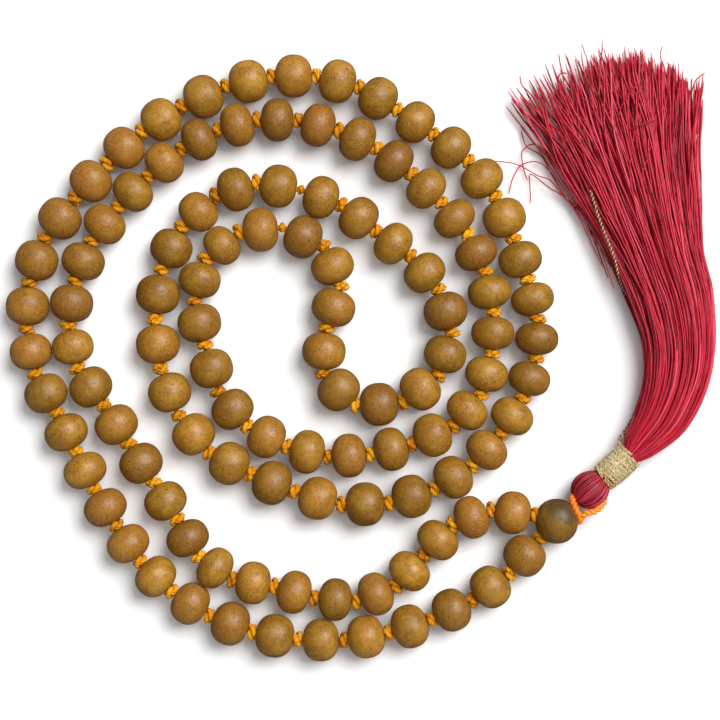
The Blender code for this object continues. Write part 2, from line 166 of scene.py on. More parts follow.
def turned_wood(name, light, middle, dark, warm, stained_side=None):
    """Satin turned wood. A bead's own "grain_turn", "grain_shift" and "tone" vary it.

    "local_mm" is where a point is from the bead's middle, with X along its hole. The tone's
    parts are how pale the bead is, how warm, and whether it has flaws.
    """
    n = Nodes(name)
    local_mm = n.attribute("local_mm").outputs["Vector"]
    grain = grain_place(n, local_mm)
    paleness, warmth, flawed = n.parts(n.attribute("tone").outputs["Vector"])

    fibre_place = n.vector("MULTIPLY", grain, (0.5, 6.0, 6.0))
    fibres = n.noise(fibre_place, scale=1.0, detail=4.0, roughness=0.65)
    pore_place = n.vector("MULTIPLY", grain, (1.4, 9.0, 9.0))
    pores = n.span(n.noise(pore_place, scale=0.8, detail=2.0), 0.63, 0.74)
    wobble = n.noise(grain, scale=0.35, detail=2.0)
    ring_place = n.vector("MULTIPLY", grain, (0.06, 1.0, 1.0))
    rings = n.add(
        "ShaderNodeTexWave",
        {"Vector": ring_place, "Scale": 0.22, "Distortion": 5.0, "Detail": 3.0,
         "Detail Scale": 0.7},
        wave_type="RINGS", rings_direction="X", wave_profile="SIN",
    ).outputs["Fac"]
    blotches = n.noise(grain, scale=0.28, detail=3.0, roughness=0.5, distortion=0.4)
    mottle = n.noise(grain, scale=1.6, detail=4.0, roughness=0.6)
    speckle_place = n.vector("MULTIPLY", grain, (0.6, 1.0, 1.0))
    speckle = n.noise(speckle_place, scale=4.2, detail=2.0, roughness=0.6)

    base = n.mix(n.span(blotches, 0.32, 0.68), light, middle)
    base = n.mix(n.span(rings, 0.2, 1.0, 0.0, 0.16), base, dark)
    warm_share = n.math("MULTIPLY", warmth, n.span(wobble, 0.3, 0.75, 0.45, 1.0))
    base = n.mix(warm_share, base, warm)
    base = n.mix(n.span(mottle, 0.42, 0.75, 0.0, 0.34), base, dark)
    base = n.mix(n.span(fibres, 0.40, 0.72, 0.0, 0.50), base, light)
    base = n.mix(n.span(speckle, 0.50, 0.68, 0.0, 0.65), base, light)
    base = n.mix(n.span(speckle, 0.30, 0.48, 0.52, 0.0), base, dark)
    base = n.mix(n.math("MULTIPLY", pores, 0.5), base, dark)

    # A few beads have short dark flaws along the grain
    flaw_place = n.vector("MULTIPLY", grain, (0.55, 1.9, 1.9))
    flaw = n.noise(flaw_place, scale=1.0, detail=2.0, roughness=0.4)
    flaw = n.math("MULTIPLY", n.span(flaw, 0.68, 0.75, 0.0, 0.75), flawed)
    base = n.mix(flaw, base, colour(70, 40, 12))

    base = stained_round_hole(n, base, local_mm, mottle)
    if stained_side:
        base = stained_on_side(n, base, local_mm, mottle, stained_side)
    shade = n.math("ADD", n.math("MULTIPLY", paleness, 0.40), 0.70)
    base = n.vector("SCALE", base, scale=shade)

    height = n.math("ADD", n.math("MULTIPLY", fibres, 0.5), n.math("MULTIPLY", mottle, 0.5))
    height = n.math("SUBTRACT", height, n.math("MULTIPLY", pores, 0.6))
    height = n.math("SUBTRACT", height, n.math("MULTIPLY", flaw, 2.0))
    normal = n.bump(height, 0.045 * MM)
    roughness = n.span(mottle, 0.25, 0.8, 0.36, 0.52)
    return n.surface(base, roughness, normal, Specular_IOR_Level=0.50)


def spun_fibre(name, dark, middle, bright, streaks, roughness, **constants):
    """Thread or cord. streaks is how fine its streaks are.

    "strand" holds where a point is along and around its strand, and "tone" how bright its
    strand is.
    """
    n = Nodes(name)
    strand = n.attribute("strand").outputs["Vector"]
    brightness = n.parts(n.attribute("tone").outputs["Vector"])[0]
    streak_place = n.vector("MULTIPLY", strand, (0.35, 1.0, 1.0))
    streak = n.noise(streak_place, scale=streaks, detail=4.0, roughness=0.65)
    lumps = n.noise(strand, scale=1.1, detail=2.0)
    base = n.mix(n.span(brightness, 0.0, 0.6), dark, middle)
    base = n.mix(n.span(brightness, 0.55, 1.0, 0.0, 0.85), base, bright)
    base = n.mix(n.span(streak, 0.42, 0.75, 0.0, 0.45), base, bright)
    base = n.mix(n.span(streak, 0.25, 0.48, 0.55, 0.0), base, dark)
    base = n.mix(n.span(lumps, 0.5, 0.8, 0.0, 0.25), base, dark)
    normal = n.bump(streak, 0.03 * MM)
    rough = n.span(streak, 0.2, 0.8, roughness + 0.12, roughness - 0.06)
    return n.surface(base, rough, normal, **constants)


def floor_material():
    """A matt surface, nearly white, with a very fine grain."""
    n = Nodes("pale_floor")
    place = n.add("ShaderNodeTexCoord", {}).outputs["Object"]
    grain = n.noise(place, scale=900.0)
    base = n.mix(grain, colour(250, 250, 250), colour(244, 244, 245))
    return n.surface(base, 0.85, n.bump(grain, 0.01 * MM), Specular_IOR_Level=0.1)


# ---------------------------------------------------------------- strands of thread


def path_frames(path):
    """At each point of a path, two directions across it, with no twist from point to point."""
    along = np.gradient(path, axis=0)
    along /= np.linalg.norm(along, axis=1)[:, None]
    upright = abs(along[0][2]) >= 0.9
    start = np.array((1.0, 0.0, 0.0)) if upright else np.array((0.0, 0.0, 1.0))
    side = start - along[0] * start.dot(along[0])
    sides = []
    for direction in along:
        side = side - direction * side.dot(direction)
        side = side / math.sqrt(side.dot(side))
        sides.append(side)
    sides = np.array(sides)
    return sides, np.cross(along, sides)


def distance_along(path):
    """How far from the path's start each of its points is, along the path."""
    steps = np.linalg.norm(np.diff(path, axis=0), axis=1)
    return np.concatenate(([0.0], np.cumsum(steps)))


def smooth_rows(rows, steps):
    """Rows on a Catmull-Rom curve through rows, with steps from each row to the next."""
    padded = np.vstack((2 * rows[0] - rows[1], rows, 2 * rows[-1] - rows[-2]))
    fine = []
    for index in range(len(rows) - 1):
        before, start, end, after = padded[index:index + 4]
        for share in np.linspace(0, 1, steps, endpoint=False):
            fine.append(0.5 * (
                2 * start + (end - before) * share
                + (2 * before - 5 * start + 4 * end - after) * share ** 2
                + (3 * start - before - 3 * end + after) * share ** 3
            ))
    fine.append(rows[-1])
    return np.array(fine)


def smooth_path(points, count):
    """count points on a smooth curve through points, evenly spaced from end to end."""
    fine = smooth_rows(np.array(points, float), 12)
    reached = distance_along(fine)
    wanted = np.linspace(0, reached[-1], count)
    return np.stack([np.interp(wanted, reached, fine[:, axis]) for axis in range(3)], axis=1)


class Strands:
    """Thin closed tubes, gathered into one mesh. Points are in metres."""

    def __init__(self):
        self.points = []
        self.faces = []
        self.strand = []
        self.tone = []
        self.count = 0

    def tube(self, path, radius, sides=5, tone=0.5, ends=(0.6, 0.4)):
        """radius is one number or one for each point. ends narrow the two ends."""
        path = np.array(path, float)
        length = len(path)
        narrowing = np.interp(np.arange(length), (0, 1, length - 2, length - 1),
                              (ends[0], 1, 1, ends[1]))
        radii = np.array(radius) * narrowing
        side, up = path_frames(path)
        angles = np.arange(sides) * (2 * math.pi / sides)
        around = (np.cos(angles)[None, :, None] * side[:, None, :]
                  + np.sin(angles)[None, :, None] * up[:, None, :])
        rings = path[:, None, :] + around * radii[:, None, None]
        self.points.append(rings.reshape(-1, 3))
        start = self.count
        for ring in range(length - 1):
            low = start + ring * sides
            for corner in range(sides):
                following = (corner + 1) % sides
                self.faces.append((low + corner, low + following,
                                   low + sides + following, low + sides + corner))
        self.faces.append(tuple(range(start + sides - 1, start - 1, -1)))
        self.faces.append(tuple(range(start + (length - 1) * sides, start + length * sides)))
        shift = chance.uniform(0, 50)
        strand = np.zeros((length, sides, 3))
        strand[:, :, 0] = (distance_along(path) / MM)[:, None] + shift
        strand[:, :, 1] = np.cos(angles)[None, :]
        strand[:, :, 2] = np.sin(angles)[None, :] + shift
        self.strand.append(strand.reshape(-1, 3))
        tones = np.zeros((length * sides, 3))
        tones[:, 0] = tone
        self.tone.append(tones)
        self.count += length * sides

    def plies(self, path, ply_count, ply_radius, offset, turn_length, sides=6, tone=0.5):
        """A cord of plies twisted together, one turn in turn_length. tone may be one per ply."""
        path = np.array(path, float)
        tones = np.resize(tone, ply_count)
        side, up = path_frames(path)
        turns = distance_along(path) / turn_length
        start = chance.uniform(0, 2 * math.pi)
        for ply in range(ply_count):
            angle = start + 2 * math.pi * (turns + ply / ply_count)
            course = (path + side * (np.cos(angle) * offset)[:, None]
                      + up * (np.sin(angle) * offset)[:, None])
            own_tone = tones[ply] + chance.uniform(-0.12, 0.12)
            self.tube(course, ply_radius, sides, own_tone)

    def make(self, name, material):
        """The object that holds every strand gathered so far."""
        mesh = bpy.data.meshes.new(name)
        points = np.concatenate(self.points)
        mesh.from_pydata(points.tolist(), [], self.faces)
        for label, values in (("strand", self.strand), ("tone", self.tone)):
            layer = mesh.attributes.new(label, "FLOAT_VECTOR", "POINT")
            layer.data.foreach_set("vector", np.concatenate(values).ravel())
        mesh.shade_smooth()
        mesh.materials.append(material)
        made = bpy.data.objects.new(name, mesh)
        bpy.context.scene.collection.objects.link(made)
        return made


# ---------------------------------------------------------------- camera

CAMERA_HEIGHT = 0.4874
BEAD_TOP_PLANE = 0.004
VIEW_CENTRE_Y = -0.0009

camera_data = bpy.data.cameras.new("camera")
camera_data.lens = 135
camera_data.sensor_width = 36
camera_data.clip_start = 0.01
camera_data.clip_end = 20
camera = bpy.data.objects.new("camera", camera_data)
camera.location = (0, VIEW_CENTRE_Y, BEAD_TOP_PLANE + CAMERA_HEIGHT)
bpy.context.scene.collection.objects.link(camera)
bpy.context.scene.camera = camera
bpy.context.scene.view_settings.view_transform = "Standard"


# ---------------------------------------------------------------- the gold thread's free end

GOLD_TAIL_ROUTE_MM = (
    (46.8, -15.6, 3.6), (47.3, -14.8, 2.9), (48.1, -13.7, 2.2), (48.9, -12.4, 1.6),
    (49.7, -11.0, 1.1), (50.4, -9.2, 0.6), (51.2, -7.0, 0.3), (51.9, -4.5, 0.3),
    (52.2, -2.0, 0.3), (52.0, 0.5, 0.3), (51.4, 3.0, 0.3), (50.5, 5.5, 0.4),
    (49.4, 8.0, 0.8), (48.2, 10.4, 1.8), (47.2, 12.6, 3.2), (46.4, 15.0, 4.8),
    (45.7, 17.6, 5.8), (44.6, 20.4, 6.0), (43.5, 23.2, 5.9), (42.5, 26.2, 5.7),
    (41.5, 29.6, 5.4),
)
GOLD_TAIL_SAMPLES = 600


def gold_thread(name, dark, middle, bright):
    """Metal foil wound on a yarn: the foil's edges show as fine slanting ridges."""
    n = Nodes(name)
    strand = n.attribute("strand").outputs["Vector"]
    brightness = n.parts(n.attribute("tone").outputs["Vector"])[0]
    foil = n.add(
        "ShaderNodeTexWave",
        {"Vector": strand, "Scale": 1.3, "Distortion": 1.5, "Detail": 1.0},
        wave_type="BANDS", bands_direction="DIAGONAL", wave_profile="TRI",
    ).outputs["Fac"]
    tarnish = n.noise(strand, scale=0.9, roughness=0.6)
    base = n.mix(n.span(brightness, 0.0, 0.3), dark, middle)
    base = n.mix(n.span(brightness, 0.3, 1.0), base, bright)
    base = n.mix(n.span(foil, 0.0, 0.45, 0.95, 0.0), base, dark)
    base = n.mix(n.span(tarnish, 0.55, 0.8, 0.0, 0.5), base, dark)
    normal = n.bump(foil, 0.04 * MM)
    rough = n.span(tarnish, 0.2, 0.8, 0.22, 0.38)
    return n.surface(base, rough, normal, Metallic=0.12, Specular_IOR_Level=0.8)


GOLD = gold_thread("gold_foil_thread", colour(104, 58, 8), colour(226, 174, 86),
                   colour(255, 244, 198))


def curled(path, reach, size, turn_length):
    """The path with a coil in it that starts within half a millimetre and dies away by reach."""
    side, up = path_frames(path)
    reached = distance_along(path)
    angle = 2 * math.pi * reached / turn_length
    coil = size * np.clip(1 - reached / reach, 0, 1) * np.clip(reached / (0.5 * MM), 0, 1)
    return path + side * (coil * np.cos(angle))[:, None] + up * (coil * np.sin(angle))[:, None]


tail_path = smooth_path(np.array(GOLD_TAIL_ROUTE_MM) * MM, GOLD_TAIL_SAMPLES)
curled_path = curled(tail_path, reach=9 * MM, size=0.30 * MM, turn_length=0.9 * MM)
tail = Strands()
tail.plies(curled_path, 2, ply_radius=0.115 * MM, offset=0.12 * MM, turn_length=0.8 * MM,
           sides=6, tone=(0.98, 0.10))
gold_tail = tail.make("gold_tail_thread", GOLD)
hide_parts("gold_thread_tail")
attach(gold_tail, "tassel_skirt")


# ---------------------------------------------------------------- floor and lights

FLOOR_HEIGHT = -0.45 * MM
FLOOR_SIZE = 6
SKY_STRENGTH = 0.06

bpy.ops.mesh.primitive_plane_add(size=FLOOR_SIZE, location=(0, 0, FLOOR_HEIGHT))
floor = bpy.context.object
floor.name = "floor"
floor.data.materials.append(floor_material())
floor.visible_glossy = False

world = bpy.data.worlds.new("studio")
world.use_nodes = True
sky = world.node_tree.nodes["Background"]
sky.inputs["Color"].default_value = colour(255, 255, 255)
sky.inputs["Strength"].default_value = SKY_STRENGTH
bpy.context.scene.world = world


def broad_light(name, source, strength, spread, in_reflections):
    """A far light from the direction of source, spread over an angle in degrees."""
    light = bpy.data.lights.new(name, "SUN")
    light.angle = math.radians(spread)
    light.energy = strength
    lamp = bpy.data.objects.new(name, light)
    lamp.location = source
    lamp.rotation_euler = (-Vector(source)).to_track_quat("-Z", "Y").to_euler()
    bpy.context.scene.collection.objects.link(lamp)
    lamp.visible_glossy = in_reflections


# Far lights, so that the whole floor is lit evenly
broad_light("key_light", source=(0.44, 0.42, 0.80), strength=3.55, spread=42,
            in_reflections=True)
broad_light("top_light", source=(0.10, 0.16, 1.1), strength=1.15, spread=60,
            in_reflections=False)
broad_light("front_light", source=(0.25, -1.0, 0.45), strength=0.35, spread=45,
            in_reflections=False)


# ---------------------------------------------------------------- the string's course

BEAD_COUNT = 108
# The CAD model's beads rest on a flat facet
CAD_BEAD_RADIUS_MM = 3.85
BEAD_AXIS_HEIGHT = CAD_BEAD_RADIUS_MM * math.cos(math.pi / 8) * MM
FIRST_TURNS_MM = (
    (35.5, -30.0), (23.5, -42.0), (9.0, -49.0), (-7.0, -51.5), (-23.5, -48.5), (-37.0, -40.0),
    (-46.0, -27.5), (-53.0, -14.0), (-59.5, 0.5), (-58.5, 17.0), (-48.5, 31.5), (-36.0, 42.5),
    (-20.0, 49.5), (-4.0, 49.5), (10.0, 42.0), (22.0, 32.0), (29.0, 17.0), (32.0, 3.0),
    (27.5, -11.0), (17.0, -22.0), (1.0, -27.0), (-16.0, -23.0), (-30.0, -14.5), (-36.5, 2.0),
    (-34.0, 19.5), (-22.5, 30.0), (-7.0, 28.5),
)
INNER_LOOP_MM = (
    (6.0, 20.0), (11.5, 15.0), (15.5, 8.0), (15.5, 0.0), (11.0, -6.0), (3.5, -9.0), (-4.0, -6.5),
    (-7.0, 1.0), (-4.5, 8.5), (-4.5, 16.0), (-10.5, 21.5), (-18.0, 22.5), (-25.0, 20.0),
    (-29.0, 13.5),
)
LAST_TURNS_MM = (
    (-29.0, 6.0), (-23.0, -10.0), (-9.5, -17.5), (5.5, -17.0), (19.5, -10.0), (24.0, 4.0),
    (21.0, 18.5), (12.0, 30.0), (-0.5, 39.0), (-15.0, 42.5), (-29.0, 39.0), (-41.0, 29.5),
    (-50.0, 17.0), (-52.0, 1.5), (-44.0, -12.5), (-35.0, -26.5),
)
BACK_TO_GURU_MM = (
    (-26.5, -39.0), (-19.0, -40.5), (-12.0, -43.0), (-4.5, -44.0), (3.0, -43.5), (9.0, -39.0),
    (14.0, -33.5), (20.0, -29.0), (27.5, -28.5), (35.5, -30.0),
)
INNER_LOOP_BEADS = range(52, 65)
LOOSE_BEADS = (*range(1, 17), *INNER_LOOP_BEADS, *range(93, 109))
JOINED_RUNS = ((17, 25), (26, 34), (35, 43), (44, 51), (65, 74), (75, 83), (84, 92))


def smooth_curve(points, steps):
    """The CAD model's curve through points, with steps between each and the next."""
    last = len(points) - 1
    headings = []
    for index in range(len(points)):
        before = points[max(index - 1, 0)]
        after = points[min(index + 1, last)]
        headings.append((after - before).normalized())
    curve = []
    for index in range(last):
        start = points[index]
        end = points[index + 1]
        reach = (end - start).length / 3
        handles = (start + headings[index] * reach, end - headings[index + 1] * reach)
        curve += interpolate_bezier(start, *handles, end, steps[index] + 1)[:-1]
    curve.append(points[last])
    return curve


def knot_places():
    """The 109 knots: knot k lies between bead k and bead k + 1, and bead 0 is the guru bead."""
    places = FIRST_TURNS_MM + INNER_LOOP_MM + LAST_TURNS_MM + BACK_TO_GURU_MM
    points = [Vector((x * MM, y * MM, BEAD_AXIS_HEIGHT)) for x, y in places]
    spans = [4] * len(FIRST_TURNS_MM) + [2] * len(INNER_LOOP_MM)
    spans += [4] * len(LAST_TURNS_MM) + [2] * (len(BACK_TO_GURU_MM) - 1)
    course = smooth_curve(points, spans)
    # Knots lie a little outside the course, so that the beads' middles lie on it
    knots = []
    for middle in range(1, len(course), 2):
        halfway = (course[middle - 1] + course[middle + 1]) / 2
        knots.append(2 * course[middle] - halfway)
    return knots


knots = knot_places()
links = {number: (knots[number - 1], knots[number]) for number in range(1, BEAD_COUNT + 1)}


# ---------------------------------------------------------------- wooden beads

BEAD_RADIUS = 3.94 * MM
BEAD_END_GAP = 0.68 * MM
LONGEST_HALF = 3.55 * MM
BARREL_POWER = 2.28
HOLE_RADIUS = 0.95 * MM
BEAD_SEGMENTS = 48
BEAD_RINGS = 26
BEAD_UNEVENNESS = 0.004
BEAD_CLEARANCE = 0.06 * MM
NEIGHBOUR_DISTANCE = 2.2 * BEAD_RADIUS
SHRINKING_ROUNDS = 6
FLAWED_SHARE = 0.15

WOOD = turned_wood("turned_wood", light=colour(180, 132, 44), middle=colour(140, 94, 14),
                   dark=colour(70, 38, 2), warm=colour(154, 94, 40))
GURU_WOOD = turned_wood("guru_wood", light=colour(150, 110, 36), middle=colour(124, 84, 16),
                        dark=colour(52, 36, 12), warm=colour(104, 74, 30),
                        stained_side=(0.35, 0.72, 0.60))


def reach_of(axis, half_length, radius, direction):
    """How far a barrel reaches from its centre in a direction."""
    power = BARREL_POWER / (BARREL_POWER - 1)
    lengthwise = abs(axis.dot(direction))
    across = math.sqrt(max(0.0, 1 - lengthwise ** 2))
    return ((half_length * lengthwise) ** power + (radius * across) ** power) ** (1 / power)


def bead_sizes():
    """Each bead's half length and radius, no larger than its neighbours leave room for."""
    sizes = {}
    for number, (start, end) in links.items():
        half_length = min((end - start).length / 2 - BEAD_END_GAP, LONGEST_HALF)
        half_length *= chance.uniform(0.98, 1.0)
        sizes[number] = [half_length, BEAD_RADIUS * chance.uniform(0.985, 1.01)]
    centres = {number: (start + end) / 2 for number, (start, end) in links.items()}
    axes = {number: (end - start).normalized() for number, (start, end) in links.items()}
    for _ in range(SHRINKING_ROUNDS):
        for first in range(1, BEAD_COUNT):
            for second in range(first + 1, BEAD_COUNT + 1):
                apart = centres[second] - centres[first]
                distance = apart.length
                if distance > NEIGHBOUR_DISTANCE:
                    continue
                direction = apart / distance
                reach = sum(reach_of(axes[one], *sizes[one], direction)
                            for one in (first, second))
                room = (distance - BEAD_CLEARANCE) / reach
                if room < 1:
                    for one in (first, second):
                        sizes[one] = [value * (1 + room) / 2 for value in sizes[one]]
    return sizes


def barrel_section(half_length, radius):
    """A bead's section: over the outside from end to end, then back through the hole."""
    hole = HOLE_RADIUS
    edge = hole * 1.22
    first = math.asin((edge / radius) ** (BARREL_POWER / 2))
    section = []
    for ring in range(BEAD_RINGS + 1):
        angle = first + (math.pi - 2 * first) * ring / BEAD_RINGS
        lengthwise = -math.cos(angle)
        along = math.copysign(abs(lengthwise) ** (2 / BARREL_POWER), lengthwise)
        section.append((half_length * along, radius * math.sin(angle) ** (2 / BARREL_POWER)))
    # The hole's edges are rounded and its middle is a little narrower
    end = section[-1][0]
    section += [(end * 0.975, hole * 1.04), (end * 0.90, hole), (0.0, hole * 0.97)]
    section += [(-end * 0.90, hole), (-end * 0.975, hole * 1.04)]
    return section


def lathe(name, section):
    """A closed mesh with a hole: the section turned round X, a little out of round."""
    first_phase = chance.uniform(0, 2 * math.pi)
    second_phase = chance.uniform(0, 2 * math.pi)
    points = []
    for along, away in section:
        for segment in range(BEAD_SEGMENTS):
            angle = 2 * math.pi * segment / BEAD_SEGMENTS
            bulge = math.cos(2 * angle + first_phase + along * 260)
            bulge += 0.6 * math.cos(3 * angle + second_phase)
            radius = away * (1 + BEAD_UNEVENNESS * bulge)
            points.append((along, radius * math.cos(angle), radius * math.sin(angle)))
    faces = []
    rings = len(section)
    for ring in range(rings):
        low = ring * BEAD_SEGMENTS
        high = (ring + 1) % rings * BEAD_SEGMENTS
        for segment in range(BEAD_SEGMENTS):
            following = (segment + 1) % BEAD_SEGMENTS
            faces.append((low + segment, low + following, high + following, high + segment))
    mesh = bpy.data.meshes.new(name)
    mesh.from_pydata(points, [], faces)
    mesh.shade_smooth()
    return mesh


def give_wood(mesh, material, turn, shift, tone):
    """Stores a bead's own grain and tone, the same at every vertex."""
    count = len(mesh.vertices)
    local_mm = np.array([vertex.co / MM for vertex in mesh.vertices])
    for label, values in (("grain_turn", np.tile(turn, count)), ("tone", np.tile(tone, count)),
                          ("grain_shift", np.tile(shift, count)), ("local_mm", local_mm)):
        layer = mesh.attributes.new(label, "FLOAT_VECTOR", "POINT")
        layer.data.foreach_set("vector", values.ravel())
    mesh.materials.append(material)


def turn_along(start, end, roll):
    """The turn that lays X along a link, after a roll about it."""
    x = (end - start).normalized()
    y = UP.cross(x).normalized()
    z = x.cross(y)
    return Matrix((x, y, z)).transposed().to_4x4() @ Matrix.Rotation(roll, 4, "X")


def node_of(number):
    """The CAD node that holds this bead."""
    if number in LOOSE_BEADS:
        return f"bead_{number:03d}"
    for first, last in JOINED_RUNS:
        if first <= number <= last:
            return f"joined_beads_{first:03d}_{last:03d}"


sizes = bead_sizes()
for number, (start, end) in links.items():
    name = f"wood_bead_{number:03d}"
    mesh = lathe(name, barrel_section(*sizes[number]))
    turn = [chance.uniform(-0.5, 0.5), chance.uniform(-0.5, 0.5), chance.uniform(-1.6, 1.6)]
    shift = [chance.uniform(-40, 40), chance.uniform(-7, 7), chance.uniform(-7, 7)]
    flawed = 1.0 if chance.random() < FLAWED_SHARE else 0.0
    give_wood(mesh, WOOD, turn, shift, [chance.random(), chance.random() ** 1.6, flawed])
    mesh.transform(turn_along(start, end, chance.uniform(0, 2 * math.pi)))
    bead = bpy.data.objects.new(name, mesh)
    bpy.context.scene.collection.objects.link(bead)
    bead.location = (start + end) / 2
    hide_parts(node_of(number))
    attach(bead, node_of(number) if number in LOOSE_BEADS else "mala")


# ---------------------------------------------------------------- guru bead

CAD_GURU_RADIUS_MM = 4.25
GURU_CENTRE = Vector((35.5, -30.0, CAD_GURU_RADIUS_MM * math.cos(math.pi / 8))) * MM
GURU_RADIUS = 4.05 * MM
GURU_HALF_LENGTH = 3.85 * MM
GURU_POWER = 2.15
GURU_HOLE_RADIUS = 1.15 * MM
CUTTER_LENGTH = 6 * MM
CUTTER_MIDDLE = 2.7 * MM


def cutter(direction):
    """A bar from the bead's middle outwards, for cutting a hole."""
    made = bmesh.new()
    bmesh.ops.create_cone(made, segments=28, radius1=GURU_HOLE_RADIUS,
                          radius2=GURU_HOLE_RADIUS * 1.02, depth=CUTTER_LENGTH, cap_ends=True)
    turn = direction.to_track_quat("Z", "Y").to_matrix().to_4x4()
    bmesh.ops.transform(made, matrix=turn @ Matrix.Translation((0, 0, CUTTER_MIDDLE)),
                        verts=made.verts)
    mesh = bpy.data.meshes.new("cutter")
    made.to_mesh(mesh)
    made.free()
    bar = bpy.data.objects.new("cutter", mesh)
    bpy.context.scene.collection.objects.link(bar)
    return bar


def guru_bead():
    """The guru bead, cut at the origin and then moved to its place."""
    made = bmesh.new()
    bmesh.ops.create_uvsphere(made, u_segments=72, v_segments=40, radius=1.0)
    for vertex in made.verts:
        co = vertex.co
        size = sum(abs(value) ** GURU_POWER for value in co) ** (1 / GURU_POWER)
        vertex.co = Vector((co.x * GURU_HALF_LENGTH, co.y * GURU_RADIUS,
                            co.z * GURU_RADIUS)) / size
    mesh = bpy.data.meshes.new("wood_guru_bead")
    made.to_mesh(mesh)
    made.free()
    mesh.shade_smooth()
    bead = bpy.data.objects.new("wood_guru_bead", mesh)
    bpy.context.scene.collection.objects.link(bead)
    # One hole for the tassel's loop and two for the string
    directions = [Vector((1, 0, 0))]
    for knot in (knots[0], knots[-1]):
        flat = knot - GURU_CENTRE
        flat.z = 0
        directions.append(flat.normalized())
    for direction in directions:
        bar = cutter(direction)
        cut = bead.modifiers.new("hole", "BOOLEAN")
        cut.object = bar
        cut.solver = "EXACT"
        bpy.context.view_layer.objects.active = bead
        bpy.ops.object.modifier_apply(modifier=cut.name)
        bpy.data.objects.remove(bar)
    bead.location = GURU_CENTRE
    bead.data.set_sharp_from_angle(angle=math.radians(40))
    give_wood(bead.data, GURU_WOOD, turn=[0.3, 1.1, 0.6], shift=[4.0, 2.2, -1.4],
              tone=[0.55, 0.5, 0.0])
    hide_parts("guru_bead")
    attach(bead, "mala")


guru_bead()


# ---------------------------------------------------------------- string and knots

COTTON = spun_fibre("orange_cotton", colour(150, 76, 0), colour(206, 132, 2),
                    colour(246, 186, 44), streaks=2.2, roughness=0.55,
                    Specular_IOR_Level=0.22)
LOOP_COTTON = spun_fibre("bright_orange_cotton", colour(180, 76, 2), colour(230, 122, 16),
                         colour(255, 186, 84), streaks=2.2, roughness=0.5,
                         Specular_IOR_Level=0.35)
KNOT_RING = 0.80 * MM
KNOT_SWING = 0.38 * MM
PLY_RADIUS = 0.29 * MM
PLY_OFFSET = 0.20 * MM
PLY_TURN = 1.9 * MM
KNOT_SAMPLES = 84
LINK_SAMPLES = 26
GURU_END_GAP = 1.0 * MM
HINGE_KNOTS = (51, 64)
HINGE_KNOT_SIZE = 0.6


def knot_path(place, along, half_gap, size):
    """A strand tied in a knot round the string: a (2, 3) torus knot, pressed between beads."""
    side = UP.cross(along).normalized()
    roll = chance.uniform(0, 2 * math.pi)
    turn = Matrix.Rotation(roll, 3, along)
    side = turn @ side
    up = along.cross(side)
    width = chance.uniform(0.92, 1.1) * size
    swing = min(max(half_gap - PLY_RADIUS * 1.1, 0.35 * MM), 0.75 * MM) * size
    lean = chance.uniform(-0.2, 0.2)
    path = []
    for sample in range(KNOT_SAMPLES):
        angle = 2 * math.pi * sample / (KNOT_SAMPLES - 1)
        away = (KNOT_RING + KNOT_SWING * math.cos(3 * angle)) * width
        turned = 2 * angle
        across = side * math.cos(turned) + up * math.sin(turned)
        lengthwise = swing * math.sin(3 * angle) + lean * away * math.cos(turned)
        path.append(place + across * away + along * lengthwise)
    return path


def string_link(strands, start, end):
    """The stretch of string through one bead, from knot to knot."""
    path = [start.lerp(end, share) for share in np.linspace(0, 1, LINK_SAMPLES)]
    strands.plies(path, 3, ply_radius=0.27 * MM, offset=0.26 * MM, turn_length=2.4 * MM,
                  sides=5, tone=0.4)


def end_gap(number):
    """How far a bead's end is from the knots beside it."""
    if number in links:
        start, end = links[number]
        return (end - start).length / 2 - sizes[number][0]
    return GURU_END_GAP


STRING_RUNS = ((0, 16), *JOINED_RUNS[:4], (52, 64), *JOINED_RUNS[4:], (93, 109))
strings = {run: Strands() for run in STRING_RUNS}


def string_at(number):
    """The stretch of string that holds this bead and the knot after it."""
    for run in STRING_RUNS:
        if run[0] <= number <= run[1]:
            return strings[run]


for index, place in enumerate(knots):
    before = knots[index - 1] if index else GURU_CENTRE
    after = knots[index + 1] if index + 1 < len(knots) else GURU_CENTRE
    along = after - before
    along.z = 0
    half_gap = min(end_gap(index), end_gap(index + 1))
    size = HINGE_KNOT_SIZE if index in HINGE_KNOTS else 1.0
    path = knot_path(place, along.normalized(), half_gap, size)
    # The knot after the inner loop doesn't lift with it
    held_by = string_at(index + 1 if index == INNER_LOOP_BEADS[-1] else index)
    held_by.plies(path, 3, PLY_RADIUS * size, PLY_OFFSET * size, PLY_TURN, sides=6,
                  tone=chance.uniform(0.3, 0.75))
for number, (start, end) in links.items():
    string_link(string_at(number), start, end)
string_link(string_at(0), GURU_CENTRE, knots[0])
string_link(string_at(BEAD_COUNT), knots[-1], GURU_CENTRE)

for (first, last), strands in strings.items():
    piece = strands.make(f"knotted_string_{first:03d}_{last:03d}", COTTON)
    in_loop = first == INNER_LOOP_BEADS[0]
    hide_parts("string_inner_loop" if in_loop else "string_outer")
    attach(piece, "inner_loop" if in_loop else "mala")


# ---------------------------------------------------------------- tassel loop

LEFT_STRAND_MM = (
    (38.9, -30.1, 3.9), (39.6, -30.0, 4.3), (39.4, -29.1, 5.2), (38.9, -28.0, 5.6),
    (38.5, -26.9, 5.3), (38.3, -25.9, 4.6), (38.6, -25.2, 3.8),
)
RIGHT_STRAND_MM = (
    (38.9, -29.9, 3.6), (39.7, -29.7, 4.4), (40.1, -28.9, 5.2), (41.0, -28.4, 5.4),
    (42.2, -28.2, 5.2), (43.3, -27.5, 4.6), (44.0, -26.6, 3.9), (44.1, -25.7, 3.3),
)

